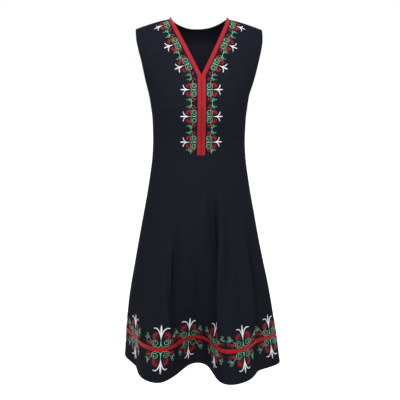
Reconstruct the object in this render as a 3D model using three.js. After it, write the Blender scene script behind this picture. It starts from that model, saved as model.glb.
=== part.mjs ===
// Sleeveless folk pinafore dress, in the hollow form that it keeps when worn, with nobody in it.
// Millimetres, +Z up. The front faces -Y and +X is the wearer's left.
// The origin lies midway between the two shoulder seams, at their mean height, where shoulders carry it.
//
// Two panels, front and back, meet at the shoulders and down the sides. The front is slit below its V neck.
// A flat braid runs down each side of the V and of the slit, and a third one runs round the skirt.

import * as THREE from "three";

// ---- Driving dimensions ----------------------------------------------------------------------------------

const CLOTH = 1.5; // wall of every panel
const SEAM_GAP = 0.3; // between pieces that are sewn to each other
const NECK = { half: 82, z: 14 }; // where the shoulder seam meets the neckline
const SHOULDER = { half: 187.5, z: -16 }; // where the shoulder seam meets the armhole
const SHOULDER_DROP = 1.3; // power of the seam's fall from neck to tip: flatter beside the neck
const UNDERARM_Z = -212;
const HEM_Z = -1033;
const V_POINT_Z = -150; // bottom of the V
const SLIT_END_Z = -376;
const BACK_NECK = { z: -10.5, power: 2.2 }; // lowest point and roundness of the scooped back neckline
const SHOULDER_ROUND = { front: { neck: 105, tip: 70 }, back: { neck: 75, tip: 64 } }; // height of the round

const BRAID = { width: 12, thick: 1.2, lift: 0.45, end: -382, tail: 3.5 };
const HEM_BRAID = { low: -947, width: 12 };
const SLIT_HALF_TURN = 0.003; // half the slit's width, as a share of the way from the middle to the side

const FOLD_POWER = 1.15; // how a fold deepens from its top to the hem: 1 is straight

// Level sections of the garment: half its width, how far it reaches ahead and behind, and how square it is.
const SECTIONS = [
  { z: 20, half: 200, front: 76, back: 80, square: 2.3 },
  { z: -16, half: 203, front: 81, back: 88, square: 2.35 },
  { z: -60, half: 200, front: 88, back: 97, square: 2.4 },
  { z: -110, half: 187, front: 98, back: 101, square: 2.45 },
  { z: -160, half: 168, front: 110, back: 102, square: 2.45 },
  { z: -212, half: 150, front: 120, back: 100, square: 2.45 },
  { z: -240, half: 145.5, front: 122, back: 97, square: 2.4 },
  { z: -284, half: 141, front: 113, back: 90, square: 2.35 },
  { z: -340, half: 140, front: 98, back: 82, square: 2.25 },
  { z: -385, half: 142, front: 93, back: 81, square: 2.2 },
  { z: -468, half: 153, front: 103, back: 99, square: 2.15 },
  { z: -593, half: 176, front: 124, back: 128, square: 2.1 },
  { z: -722, half: 202, front: 140, back: 147, square: 2.1 },
  { z: -852, half: 227, front: 151, back: 163, square: 2.1 },
  { z: -1033, half: 247, front: 163, back: 180, square: 2.1 },
];

// Edge of the armhole, seen from the front.
const ARMHOLE = [
  { z: 20, half: 187.5 },
  { z: -16, half: 187.5 },
  { z: -46, half: 186 },
  { z: -75, half: 181 },
  { z: -105, half: 174 },
  { z: -164, half: 161 },
  { z: -190, half: 154.8 },
  { z: UNDERARM_Z, half: 150 },
];

// The skirt's folds, once round from the wearer's right. Each lobe, and each dip between lobes, has the
// direction that it faces at the hem (degrees from straight ahead), its reach from the middle there, how far it
// runs level before and after its turning point, and the height at which it begins.
const FOLDS = [
  { name: "side_right", bearing: -95, reach: 239, before: 34, after: 30, top: -600 },
  { name: "dip_side_right", bearing: -68.7, reach: 219, before: 24, after: 23, top: -700 },
  { name: "lobe_front_right", bearing: -37.5, reach: 255, before: 56, after: 79, top: -640 },
  { name: "dip_front", bearing: -8.4, reach: 72, before: 46, after: 66, top: -460 },
  { name: "lobe_front_left", bearing: 24, reach: 254, before: 106, after: 45, top: -470 },
  { name: "dip_side_left", bearing: 49.6, reach: 225, before: 18, after: 20, top: -550 },
  { name: "side_left", bearing: 72, reach: 260, before: 36, after: 40, top: -550 },
  { name: "dip_back_left", bearing: 106, reach: 204, before: 44, after: 30, top: -600 },
  { name: "lobe_back_left", bearing: 135, reach: 243, before: 48, after: 66, top: -560 },
  { name: "dip_mid_left", bearing: 158, reach: 156, before: 36, after: 30, top: -500 },
  { name: "lobe_back", bearing: 182, reach: 232, before: 66, after: 62, top: -530 },
  { name: "dip_mid_right", bearing: 205, reach: 166, before: 28, after: 34, top: -560 },
  { name: "lobe_back_right", bearing: 230, reach: 246, before: 60, after: 46, top: -520 },
  { name: "dip_back_right", bearing: 250, reach: 206, before: 26, after: 30, top: -600 },
];

// Fineness of the faces.
const STRIPS = { front: { neck: 12, shoulder: 8 }, back: { neck: 11, shoulder: 8 } }; // from the middle out
const UPPER_ROWS = 13; // rows above the underarm, which fan out to the neckline, shoulder and armhole
const NECKLINE_CROWDING = 2; // power that crowds the neckline's points towards the shoulder, where it turns
const STEPS_PER_FOLD = 40; // of the hem's curve

// ---- Small tools -----------------------------------------------------------------------------------------

const clamp = THREE.MathUtils.clamp;
const lerp = THREE.MathUtils.lerp;
const radians = THREE.MathUtils.degToRad;

// A smooth graph through the rows of a table, by falling z, that never swings past a row.
function graph(rows, column) {
  const slope = (i) => (rows[i + 1][column] - rows[i][column]) / (rows[i + 1].z - rows[i].z);
  const tangent = rows.map((_, i) => {
    if (i === 0) return slope(0);
    if (i === rows.length - 1) return slope(i - 1);
    const [a, b] = [slope(i - 1), slope(i)];
    return a * b <= 0 ? 0 : (2 * a * b) / (a + b);
  });
  return (z) => {
    let i = 0;
    while (i < rows.length - 2 && z < rows[i + 1].z) i++;
    const span = rows[i + 1].z - rows[i].z;
    const t = clamp((z - rows[i].z) / span, 0, 1);
    const [t2, t3] = [t * t, t * t * t];
    return (
      (2 * t3 - 3 * t2 + 1) * rows[i][column] +
      (t3 - 2 * t2 + t) * span * tangent[i] +
      (3 * t2 - 2 * t3) * rows[i + 1][column] +
      (t3 - t2) * span * tangent[i + 1]
    );
  };
}

// The x in [low, high] where a rising function crosses zero.
function crossing(f, low, high) {
  for (let k = 0; k < 50; k++) {
    const mid = (low + high) / 2;
    if (f(mid) < 0) low = mid;
    else high = mid;
  }
  return (low + high) / 2;
}

// ---- The form of the garment -------------------------------------------------------------------------------

const halfAt = graph(SECTIONS, "half");
const reachAt = { front: graph(SECTIONS, "front"), back: graph(SECTIONS, "back") };
const squareAt = graph(SECTIONS, "square");
const armholeAt = graph(ARMHOLE, "half");

// Height of the shoulder seam at a distance from the middle.
function seamZ(x) {
  const out = Math.max(0, (Math.abs(x) - NECK.half) / (SHOULDER.half - NECK.half));
  return NECK.z + (SHOULDER.z - NECK.z) * out ** SHOULDER_DROP;
}

// Height of the neckline, which ends at the shoulder seam.
function necklineZ(side, x) {
  const share = Math.abs(x) / NECK.half;
  if (side === "front") return lerp(V_POINT_Z, NECK.z, share);
  return lerp(BACK_NECK.z, NECK.z, share ** BACK_NECK.power);
}

// 0 on the shoulder seam, 1 once the cloth has come round from it.
function roundOver(side, x, z) {
  const out = clamp((Math.abs(x) - NECK.half) / (SHOULDER.half - NECK.half), 0, 1);
  const height = lerp(SHOULDER_ROUND[side].neck, SHOULDER_ROUND[side].tip, out);
  const above = 1 - clamp((seamZ(x) - z) / height, 0, 1);
  return Math.sqrt(1 - above * above);
}

// How far the unrounded section reaches ahead or behind at a distance from the middle.
function sectionReach(side, x, z) {
  const n = squareAt(z);
  return reachAt[side](z) * Math.max(0, 1 - (Math.abs(x) / halfAt(z)) ** n) ** (1 / n);
}

// The hem seen from above: a curve through the turning points of the folds, with its running length.
const hemCurve = (() => {
  const turning = FOLDS.map((f) => {
    const b = radians(f.bearing);
    return {
      at: new THREE.Vector2(f.reach * Math.sin(b), -f.reach * Math.cos(b)),
      along: new THREE.Vector2(Math.cos(b), Math.sin(b)),
      ...f,
    };
  });
  const points = [];
  turning.forEach((a, i) => {
    const b = turning[(i + 1) % turning.length];
    const bend = new THREE.CubicBezierCurve(
      a.at,
      a.at.clone().addScaledVector(a.along, a.after),
      b.at.clone().addScaledVector(b.along, -b.before),
      b.at,
    );
    for (let k = 0; k < STEPS_PER_FOLD; k++) {
      const ease = (1 - Math.cos((Math.PI * k) / STEPS_PER_FOLD)) / 2;
      points.push({ at: bend.getPoint(k / STEPS_PER_FOLD), top: lerp(a.top, b.top, ease) });
    }
  });
  points.push(points[0]);
  let run = 0;
  const lengths = points.map((p, i) => (run += i ? p.at.distanceTo(points[i - 1].at) : 0));
  const total = run;
  // Running length where the hem passes the side seams, which face straight sideways.
  const seamAt = (sign) => {
    const i = points.findIndex(
      (p, k) => k > 0 && p.at.x * sign > 0 && p.at.y * sign >= 0 !== points[k - 1].at.y * sign >= 0,
    );
    return lengths[i];
  };
  return { points, lengths, total, right: seamAt(-1), left: seamAt(1) };
})();

// A point of the hem at a turn round the garment: 0 is the middle front, -1 and 1 the sides, 2 the middle back.
function hemAt(turn) {
  const { points, lengths, total, right, left } = hemCurve;
  const ahead = left - right;
  const pastLeft = ((turn + 4) % 4) - 1;
  const run = Math.abs(turn) <= 1 ? right + (ahead * (turn + 1)) / 2 : left + ((total - ahead) * pastLeft) / 2;
  const length = ((run % total) + total) % total;
  let low = 0;
  let high = lengths.length - 1;
  while (high - low > 1) {
    const mid = (low + high) >> 1;
    if (lengths[mid] <= length) low = mid;
    else high = mid;
  }
  const share = (length - lengths[low]) / (lengths[high] - lengths[low]);
  return {
    at: points[low].at.clone().lerp(points[high].at, share),
    top: lerp(points[low].top, points[high].top, share),
  };
}

// The outside of the cloth at a turn round the garment and a height.
function surface(side, turn, z) {
  const ahead = side === "front";
  const n = squareAt(z);
  const edge = armholeAt(z);
  const wide = z <= UNDERARM_Z ? Math.PI / 2 : Math.atan2(edge, sectionReach(side, edge, z));
  const fromMiddle = ahead ? turn : Math.sign(turn) * (2 - Math.abs(turn));
  const angle = wide * fromMiddle;
  const reach = reachAt[Math.cos(angle) >= 0 === ahead ? "front" : "back"](z);
  const r = (Math.abs(Math.sin(angle) / halfAt(z)) ** n + Math.abs(Math.cos(angle) / reach) ** n) ** (-1 / n);
  const x = r * Math.sin(angle);
  const y = (ahead ? -1 : 1) * r * Math.cos(angle) * roundOver(side, x, z);
  const point = new THREE.Vector3(x, y, z);
  const hem = hemAt(turn);
  const growth = clamp((hem.top - z) / (hem.top - HEM_Z), 0, 1) ** FOLD_POWER;
  const shrink = halfAt(z) / halfAt(HEM_Z);
  return point.lerp(new THREE.Vector3(hem.at.x * shrink, hem.at.y * shrink, z), growth);
}

// Outward direction of the cloth there. Beside an armhole and on the shoulder seam, where the cloth ends, it is
// taken from the cloth's own side of the edge.
function outward(side, turn, z) {
  const [step, rise] = [1e-3, 0.02];
  const onPanel = side === "front" ? Math.min : Math.max;
  const held = (t) => (z > UNDERARM_Z ? Math.sign(t) * onPanel(Math.abs(t), 1) : t);
  const around = surface(side, held(turn + step), z).sub(surface(side, held(turn - step), z));
  const x = surface(side, turn, z).x;
  const top = Math.min(z + rise, seamZ(x) - 1e-6);
  const up = surface(side, turn, top).sub(surface(side, turn, top - 2 * rise));
  return around.cross(up).normalize();
}

// ---- Walls -----------------------------------------------------------------------------------------------

// A closed wall from two grids of points, [row][column]. present says which cells are cloth, and round joins
// the last column to the first.
function wall(outer, inner, present = () => true, round = false) {
  const rows = outer.length;
  const columns = outer[0].length;
  const position = [...outer.flat(), ...inner.flat()].flatMap((p) => [p.x, p.y, p.z]);
  const at = (layer, i, j) => layer * rows * columns + i * columns + (j % columns);
  const lastCell = round ? columns : columns - 1;
  const isCloth = (i, j) => {
    if (i < 0 || i >= rows - 1) return false;
    if (round) return present(i, (j + columns) % columns);
    return j >= 0 && j < lastCell && present(i, j);
  };
  const index = [];
  const quad = (a, b, c, d) => index.push(a, b, c, a, c, d);
  for (let i = 0; i < rows - 1; i++) {
    for (let j = 0; j < lastCell; j++) {
      if (!isCloth(i, j)) continue;
      const corners = [[i, j], [i, j + 1], [i + 1, j + 1], [i + 1, j]];
      const [a, b, c, d] = corners.map(([r, k]) => outer[r][k % columns]);
      const turn = a.distanceTo(c) <= b.distanceTo(d) ? 0 : 1;
      const order = [0, 1, 2, 3].map((k) => corners[(k + turn) % 4]);
      quad(...order.map(([r, k]) => at(0, r, k)));
      quad(...order.map(([r, k]) => at(1, r, k)).reverse());
      const beside = [isCloth(i - 1, j), isCloth(i, j + 1), isCloth(i + 1, j), isCloth(i, j - 1)];
      corners.forEach(([r, k], e) => {
        if (beside[e]) return;
        const [r2, k2] = corners[(e + 1) % 4];
        quad(at(0, r2, k2), at(0, r, k), at(1, r, k), at(1, r2, k2));
      });
    }
  }
  const used = [...new Set(index)].sort((a, b) => a - b);
  const place = new Map(used.map((v, k) => [v, k]));
  const geometry = new THREE.BufferGeometry();
  geometry.setAttribute(
    "position",
    new THREE.Float32BufferAttribute(used.flatMap((v) => position.slice(3 * v, 3 * v + 3)), 3),
  );
  geometry.setIndex(index.map((v) => place.get(v)));
  geometry.computeVertexNormals();
  return geometry;
}

const moved = (points, normals, distance) =>
  points.map((row, i) => row.map((p, j) => p.clone().addScaledVector(normals[i][j], distance)));

// ---- Panels ----------------------------------------------------------------------------------------------

// Heights of the rows from the hem to the underarm, with rows for the braid's two edges and the slit's end.
const LEVELS = [
  HEM_Z, -990, HEM_BRAID.low, HEM_BRAID.low + HEM_BRAID.width, -880, -825, -770, -715, -660, -600,
  -540, -480, -425, BRAID.end, SLIT_END_Z, -338, -300, -268, -240, UNDERARM_Z,
];

// Places along the neckline, from the middle to the neck point, as distances from the middle.
const necklinePlaces = (count) =>
  Array.from({ length: count + 1 }, (_, k) => NECK.half * (1 - (1 - k / count) ** NECKLINE_CROWDING));

// A panel's columns from its middle to its side seam. Each has a share of the way round at the underarm and
// below, another at its top edge, and the height of that edge.
function columns(side) {
  const { neck, shoulder } = STRIPS[side];
  const count = neck + shoulder;
  const turn = (share) => (side === "front" ? share : 2 - share);
  const first = side === "front" ? SLIT_HALF_TURN : 0;
  const tops = [
    ...necklinePlaces(neck).map((x) => ({ x, z: necklineZ(side, x) })),
    ...Array.from({ length: shoulder }, (_, k) => {
      const x = lerp(NECK.half, SHOULDER.half, (k + 1) / shoulder);
      return { x, z: seamZ(x) };
    }),
  ];
  return tops.map(({ x, z }, k) => {
    const found = crossing((share) => surface(side, turn(share), z).x - x, 0, 1);
    return { even: lerp(first, 1, k / count), top: k === count ? 1 : Math.max(found, first), topZ: z };
  });
}

function panel(side) {
  const half = columns(side);
  const mirror = (column) => ({ ...column, even: -column.even, top: -column.top });
  const signed = [...half.map(mirror).reverse(), ...(side === "front" ? half : half.slice(1))];
  // Columns run the way the outside faces do, so the back's run from the wearer's left to the right.
  const turn = (share) => {
    if (side === "front") return share;
    return share <= 0 ? 2 + share : share - 2;
  };
  const grid = LEVELS.map((z) => signed.map(({ even }) => ({ turn: turn(even), z })));
  for (let k = 1; k <= UPPER_ROWS; k++) {
    const climb = (1 - Math.cos((Math.PI * k) / UPPER_ROWS)) / 2; // closer rows at both ends
    const at = ({ even, top, topZ }) => {
      return { turn: turn(lerp(even, top, climb)), z: lerp(UNDERARM_Z, topZ, climb) };
    };
    grid.push(signed.map(at));
  }
  const outer = grid.map((row) => row.map((p) => surface(side, p.turn, p.z)));
  const normals = grid.map((row) => row.map((p) => outward(side, p.turn, p.z)));
  // The side and shoulder seams lie in the plane y = 0, and each panel stops short of it.
  const short = ((side === "front" ? -1 : 1) * SEAM_GAP) / 2;
  LEVELS.forEach((_, i) => [outer[i][0], outer[i].at(-1)].forEach((p) => (p.y = short)));
  outer.at(-1).forEach((p, j) => {
    if (Math.abs(p.x) < NECK.half - 0.01) return;
    p.y = short;
    normals.at(-1)[j].setY(0).normalize();
  });
  const middle = half.length - 1; // the slit lies between this column and the next
  const slitRow = LEVELS.indexOf(SLIT_END_Z);
  const present = (i, j) => side === "back" || j !== middle || i < slitRow;
  return { geometry: wall(outer, moved(outer, normals, -CLOTH), present), outer, normals };
}

// ---- Braids ----------------------------------------------------------------------------------------------

// Point and outward direction on the front, at a distance from the middle and a height.
function onFront(x, z) {
  const place = (px, pz) =>
    new THREE.Vector3(px, -sectionReach("front", px, pz) * roundOver("front", px, pz), pz);
  const [step, top] = [0.05, Math.min(z, seamZ(x) - 0.02)];
  const across = place(x + step, top).sub(place(x - step, top));
  const up = place(x, top).sub(place(x, top - step));
  return { at: place(x, z), normal: across.cross(up).normalize() };
}

// One neck braid, from the foot of the slit, up its edge and the edge of the V, to just past the shoulder seam.
function neckBraid(sign) {
  const inset = SEAM_GAP / 2;
  const widths = [0, 0.5, 1].map((share) => share * BRAID.width);
  const upSlit = [...LEVELS.filter((z) => z >= BRAID.end), -190, -170];
  const stations = [
    ...upSlit.map((z) => widths.map((width) => ({ x: inset + width, z }))),
    // Its end is cut along the shoulder seam.
    ...necklinePlaces(STRIPS.front.neck).map((edge) =>
      widths.map((width) => ({
        x: Math.max(inset, edge) + width,
        z: lerp(V_POINT_Z, seamZ(NECK.half + width), edge / NECK.half),
      })),
    ),
  ];
  const rows = stations.map((station) => {
    const row = station.map(({ x, z }) => onFront(x, z));
    row.forEach(({ at, normal }) => {
      at.x *= sign;
      normal.x *= sign;
    });
    return sign < 0 ? row.reverse() : row;
  });
  const points = rows.map((row) => row.map((p) => p.at));
  const normals = rows.map((row) => row.map((p) => p.normal));
  const under = moved(points, normals, BRAID.lift);
  const over = moved(points, normals, BRAID.lift + BRAID.thick);
  [...under.at(-1), ...over.at(-1)].forEach((p) => (p.z += BRAID.tail));
  return wall(over, under);
}

// The braid round the skirt, on the points of both panels.
function hemBraid(ahead, behind) {
  const low = LEVELS.indexOf(HEM_BRAID.low);
  const rows = [low, low + 1];
  const points = rows.map((i) => [...ahead.outer[i], ...behind.outer[i]]);
  const normals = rows.map((i) => [...ahead.normals[i], ...behind.normals[i]]);
  return wall(
    moved(points, normals, SEAM_GAP + BRAID.thick),
    moved(points, normals, SEAM_GAP),
    () => true,
    true,
  );
}

// ---- The dress -------------------------------------------------------------------------------------------

const midnightCloth = () => new THREE.MeshStandardMaterial({ color: "#1d1f29", roughness: 0.85, metalness: 0 });
const redBraid = () => new THREE.MeshStandardMaterial({ color: "#c4202c", roughness: 0.7, metalness: 0 });

function piece(name, geometry, material) {
  const mesh = new THREE.Mesh(geometry, material);
  mesh.name = name;
  return mesh;
}

const front = panel("front");
const back = panel("back");
const dress = new THREE.Group();
dress.add(
  piece("front", front.geometry, midnightCloth()),
  piece("back", back.geometry, midnightCloth()),
  piece("neck_braid_left", neckBraid(1), redBraid()),
  piece("neck_braid_right", neckBraid(-1), redBraid()),
  piece("hem_braid", hemBraid(front, back), redBraid()),
);

export default dress;
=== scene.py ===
"""A sleeveless folk pinafore dress, filled out as when worn, with nobody in it.

The cloth is cut again here at a tailor's fineness on the form of its two panels. On it lie the three woven
braids and the satin-stitch embroidery of the neck and the skirt. The garment's tables and sizes are in
millimetres.
"""
import math

import bpy
import numpy as np
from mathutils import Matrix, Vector


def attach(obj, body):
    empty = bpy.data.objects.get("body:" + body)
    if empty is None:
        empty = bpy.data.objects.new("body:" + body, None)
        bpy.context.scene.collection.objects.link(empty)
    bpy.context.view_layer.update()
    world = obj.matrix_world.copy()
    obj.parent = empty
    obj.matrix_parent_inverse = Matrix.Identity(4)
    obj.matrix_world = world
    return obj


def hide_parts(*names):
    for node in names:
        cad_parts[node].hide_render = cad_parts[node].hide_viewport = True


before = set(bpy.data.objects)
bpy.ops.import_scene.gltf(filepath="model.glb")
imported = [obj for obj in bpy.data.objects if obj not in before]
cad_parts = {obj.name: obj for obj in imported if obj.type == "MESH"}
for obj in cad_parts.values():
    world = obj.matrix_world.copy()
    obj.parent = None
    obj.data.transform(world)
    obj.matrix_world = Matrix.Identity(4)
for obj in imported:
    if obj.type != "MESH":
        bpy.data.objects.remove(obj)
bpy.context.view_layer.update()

MM = 0.001
PI = math.pi


def table(columns, *rows):
    """Rows under named columns, as one array for each name."""
    return {name: np.array(values, float) for name, values in zip(columns.split(), zip(*rows))}


# ---- The garment's form ----------------------------------------------------------------------------------

CLOTH = 1.1  # thickness of the cloth
HEM_TURNING = {"depth": 24, "thick": 0.7}  # turned up inside the hem
SEAM_GAP = 0.06  # between the two panels, and between the edges of the slit
NECK_HALF, NECK_Z = 82, 14  # where shoulder seam and neckline meet
TIP_HALF, TIP_Z = 187.5, -16  # where shoulder seam and armhole meet
SHOULDER_DROP = 1.3  # power of the seam's fall from neck to tip: flatter beside the neck
UNDERARM_Z, HEM_Z, V_POINT_Z, SLIT_END_Z = -212, -1033, -150, -376
BACK_NECK_Z, BACK_NECK_POWER = -10.5, 2.2  # lowest point and roundness of the scooped back neckline
ROUND_FRONT, ROUND_BACK = (105, 70), (75, 64)  # height of the round over the shoulder, at neck and tip
SLIT_HALF_TURN = 0.003  # half the slit's width, as a share of the way from the middle to the side
FOLD_POWER = 1.15  # how a fold deepens from its top to the hem: 1 is straight
BRAID_WIDTH, BRAID_THICK = 12, 1.2
BRAID_END_Z, BRAID_TAIL = -382, 3.5  # the neck braids' foot, and how far they stand up over the shoulder seam
HEM_BRAID_Z = -941  # of its middle

# Sections of the dress: its half width, its depth in front of and behind the side seams, and how square it is
# at the corners, where 2 is an ellipse.
SECTIONS = table(
    "z half front back square",
    (20, 200, 76, 80, 2.3),
    (-16, 203, 81, 88, 2.35),
    (-60, 200, 88, 97, 2.4),
    (-110, 187, 98, 101, 2.45),
    (-160, 168, 110, 102, 2.45),
    (-212, 150, 120, 100, 2.45),
    (-240, 145.5, 122, 97, 2.4),
    (-284, 141, 113, 90, 2.35),
    (-340, 140, 98, 82, 2.25),
    (-385, 142, 93, 81, 2.2),
    (-468, 153, 103, 99, 2.15),
    (-593, 176, 124, 128, 2.1),
    (-722, 202, 140, 147, 2.1),
    (-852, 227, 151, 163, 2.1),
    (-1033, 247, 163, 180, 2.1),
)
# How far from the middle the armhole's edge runs.
ARMHOLE = table(
    "z half",
    (20, 187.5),
    (-16, 187.5),
    (-46, 186),
    (-75, 181),
    (-105, 174),
    (-164, 161),
    (-190, 154.8),
    (UNDERARM_Z, 150),
)
HEM_STEPS = 120  # of the hem's curve, from each lobe or dip to the next
# Lobes and dips of the skirt, once round from the wearer's right: the direction each faces at the hem, its
# reach, how far it runs level before and after its turning point, and the height at which it begins.
FOLDS = table(
    "bearing reach before after top",
    (-95, 239, 34, 30, -600),
    (-68.7, 219, 24, 23, -700),
    (-37.5, 255, 56, 79, -640),
    (-8.4, 72, 46, 66, -460),
    (24, 254, 106, 45, -470),
    (49.6, 225, 18, 20, -550),
    (72, 260, 36, 40, -550),
    (106, 204, 44, 30, -600),
    (135, 243, 48, 66, -560),
    (158, 156, 36, 30, -500),
    (182, 232, 66, 62, -530),
    (205, 166, 28, 34, -560),
    (230, 246, 60, 46, -520),
    (250, 206, 26, 30, -600),
)
# Soft creases between the main folds: where each starts and ends seen from its own side, how far its middle
# bows sideways, its half widths toward each side, and its height, which is below zero for a trough.
CREASES = {
    "front": table(
        "x0 z0 x1 z1 bow less more high",
        (-74, -560, -64, -955, -12, 7, 20, -26.0),
        (-98, -580, -95, -950, -12, 18, 8, 12.0),
        (-22, -520, -14, -955, -4, 28, 30, 17.0),
        (33, -430, 30, -915, 2, 16, 7, -27.0),
        (53, -430, 50, -915, 2, 8, 14, 27.0),
        (80, -480, 78, -950, 2, 14, 20, 3.0),
        (116, -540, 150, -950, 0, 16, 8, 24.0),
        (134, -540, 166, -950, 0, 8, 14, -16.0),
        (143, -600, 196, -950, -12, 8, 12, 1.5),
        (-154, -580, -206, -960, -3, 14, 10, -6.0),
        (-186, -935, -158, -1033, 0, 6, 8, -2.4),
        (-72, -925, -74, -1033, 0, 9, 10, -2.0),
        (166, -940, 164, -1033, 0, 7, 9, -2.0),
        (-118, -372, -88, -430, 4, 9, 9, -0.9),
        (120, -366, 84, -428, -4, 9, 9, -1.0),
        (-132, -330, -92, -352, 3, 8, 8, -0.8),
        (130, -318, 96, -346, -2, 8, 8, -0.7),
        (-150, -192, -96, -236, 6, 11, 11, -1.1),
        (150, -190, 100, -232, -6, 12, 12, -1.0),
        (-30, -372, -22, -470, 3, 9, 9, -0.8),
        (30, -378, 20, -480, -3, 10, 10, -0.9),
    ),
    "back": table(
        "x0 z0 x1 z1 bow less more high",
        (96, -520, 80, -1000, 8, 10, 9, -8.0),
        (52, -560, 48, -980, -6, 15, 20, 2.8),
        (-60, -460, -80, -1020, 6, 9, 11, -9.5),
        (-22, -560, -14, -960, 4, 18, 16, 2.4),
        (-86, -480, -106, -1000, 6, 12, 9, 9.0),
        (118, -540, 106, -980, 8, 9, 14, 8.0),
        (150, -600, 178, -1000, 5, 11, 10, -6.0),
        (-146, -580, -178, -980, -5, 9, 12, -7.0),
        (-112, -330, -56, -372, 8, 11, 11, -1.6),
        (116, -324, 52, -380, -8, 12, 12, -1.8),
        (-96, -366, -40, -398, 6, 9, 9, -1.1),
        (92, -372, 44, -404, -6, 9, 9, -1.0),
        (-30, -60, 30, -64, -8, 14, 14, -0.9),
        (-150, -170, -120, -260, 6, 12, 12, -1.2),
        (150, -176, 118, -268, -6, 13, 13, -1.1),
    ),
}
CREASE_SKEW, CREASE_FULLNESS = 1.35, 0.8  # a crease is deepest past its middle, and fades slowly to its ends
# Slight waves all over worn cloth, three of each length, which lean a little and die out at the seams.
WAVES = table("length high", (130, 0.5), (84, 0.35), (52, 0.16))
WAVES_EACH, WAVE_LEAN, WAVE_STRETCH = 3, 0.6, 0.45
WAVE_SEED = {"front": 11, "back": 12}


def graph(rows, column):
    """A smooth graph of a column over falling z that never swings past a row."""
    z, v = rows["z"], rows[column]
    slope = np.diff(v) / np.diff(z)
    tangent = np.concatenate([slope[:1], np.zeros(len(z) - 2), slope[-1:]])
    before, after = slope[:-1], slope[1:]
    same = before * after > 0
    tangent[1:-1][same] = (2 * before * after)[same] / (before + after)[same]

    def at(height):
        i = np.clip(np.searchsorted(-z, -np.asarray(height, float), side="right") - 1, 0, len(z) - 2)
        span = z[i + 1] - z[i]
        t = np.clip((height - z[i]) / span, 0, 1)
        rise = (3 - 2 * t) * t * t
        bulge = span * t * (1 - t) * ((1 - t) * tangent[i] - t * tangent[i + 1])
        return (1 - rise) * v[i] + rise * v[i + 1] + bulge

    return at


half_at, front_at, back_at, square_at = (graph(SECTIONS, c) for c in ("half", "front", "back", "square"))
armhole_at = graph(ARMHOLE, "half")


def lerp(a, b, t):
    """The value a share t of the way from a to b."""
    return a + (b - a) * t


def smooth(t):
    """0 below 0 and 1 above 1, with a soft rise between."""
    t = np.clip(t, 0, 1)
    return t * t * (3 - 2 * t)


def seam_z(x):
    """Height of the shoulder seam."""
    out = np.maximum(0, (np.abs(x) - NECK_HALF) / (TIP_HALF - NECK_HALF))
    return lerp(NECK_Z, TIP_Z, out**SHOULDER_DROP)


def round_over(ahead, x, z):
    """0 on the shoulder seam, 1 once the cloth has come round from it."""
    out = np.clip((np.abs(x) - NECK_HALF) / (TIP_HALF - NECK_HALF), 0, 1)
    height = np.where(ahead, lerp(*ROUND_FRONT, out), lerp(*ROUND_BACK, out))
    above = 1 - np.clip((seam_z(x) - z) / height, 0, 1)
    return np.sqrt(1 - above * above)


def hem_curve():
    """The hem seen from above, as x, y, its running length and the height where the fold there begins."""
    bearing = np.radians(FOLDS["bearing"])
    at = FOLDS["reach"][:, None] * np.stack([np.sin(bearing), -np.cos(bearing)], axis=1)
    along = np.stack([np.cos(bearing), np.sin(bearing)], axis=1)
    leave = at + along * FOLDS["after"][:, None]
    arrive = np.roll(at - along * FOLDS["before"][:, None], -1, axis=0)
    t = np.linspace(0, 1, HEM_STEPS, endpoint=False)[None, :, None]
    ends = np.roll(at, -1, axis=0)
    bend = (1 - t) ** 3 * at[:, None] + 3 * t * (1 - t) ** 2 * leave[:, None]
    bend = bend + 3 * t * t * (1 - t) * arrive[:, None] + t**3 * ends[:, None]
    ease = (1 - np.cos(PI * t[0, :, 0])) / 2
    top = lerp(FOLDS["top"][:, None], np.roll(FOLDS["top"], -1)[:, None], ease[None])
    points = np.concatenate([bend.reshape(-1, 2), bend[0, :1]])
    lengths = np.concatenate([[0], np.cumsum(np.linalg.norm(np.diff(points, axis=0), axis=1))])
    return points[:, 0], points[:, 1], lengths, np.append(top.ravel(), top[0, 0])


HEM_X, HEM_Y, HEM_RUN, HEM_TOP = hem_curve()


def seam_run(sign):
    """Running length of the hem at the side seam of one side."""
    past = HEM_Y * sign >= 0
    crossing = np.flatnonzero((past[1:] != past[:-1]) & (HEM_X[1:] * sign > 0))[0] + 1
    return HEM_RUN[crossing]


RIGHT_RUN, LEFT_RUN, FULL_RUN = seam_run(-1), seam_run(1), HEM_RUN[-1]


def hem_at(turn):
    """The hem's x and y at a turn round the dress, and the height where the fold there begins."""
    ahead = LEFT_RUN - RIGHT_RUN
    past_left = (turn + 4) % 4 - 1
    in_front = RIGHT_RUN + ahead * (turn + 1) / 2
    behind = LEFT_RUN + (FULL_RUN - ahead) * past_left / 2
    run = np.where(np.abs(turn) <= 1, in_front, behind) % FULL_RUN
    return np.interp(run, HEM_RUN, HEM_X), np.interp(run, HEM_RUN, HEM_Y), np.interp(run, HEM_RUN, HEM_TOP)


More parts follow.
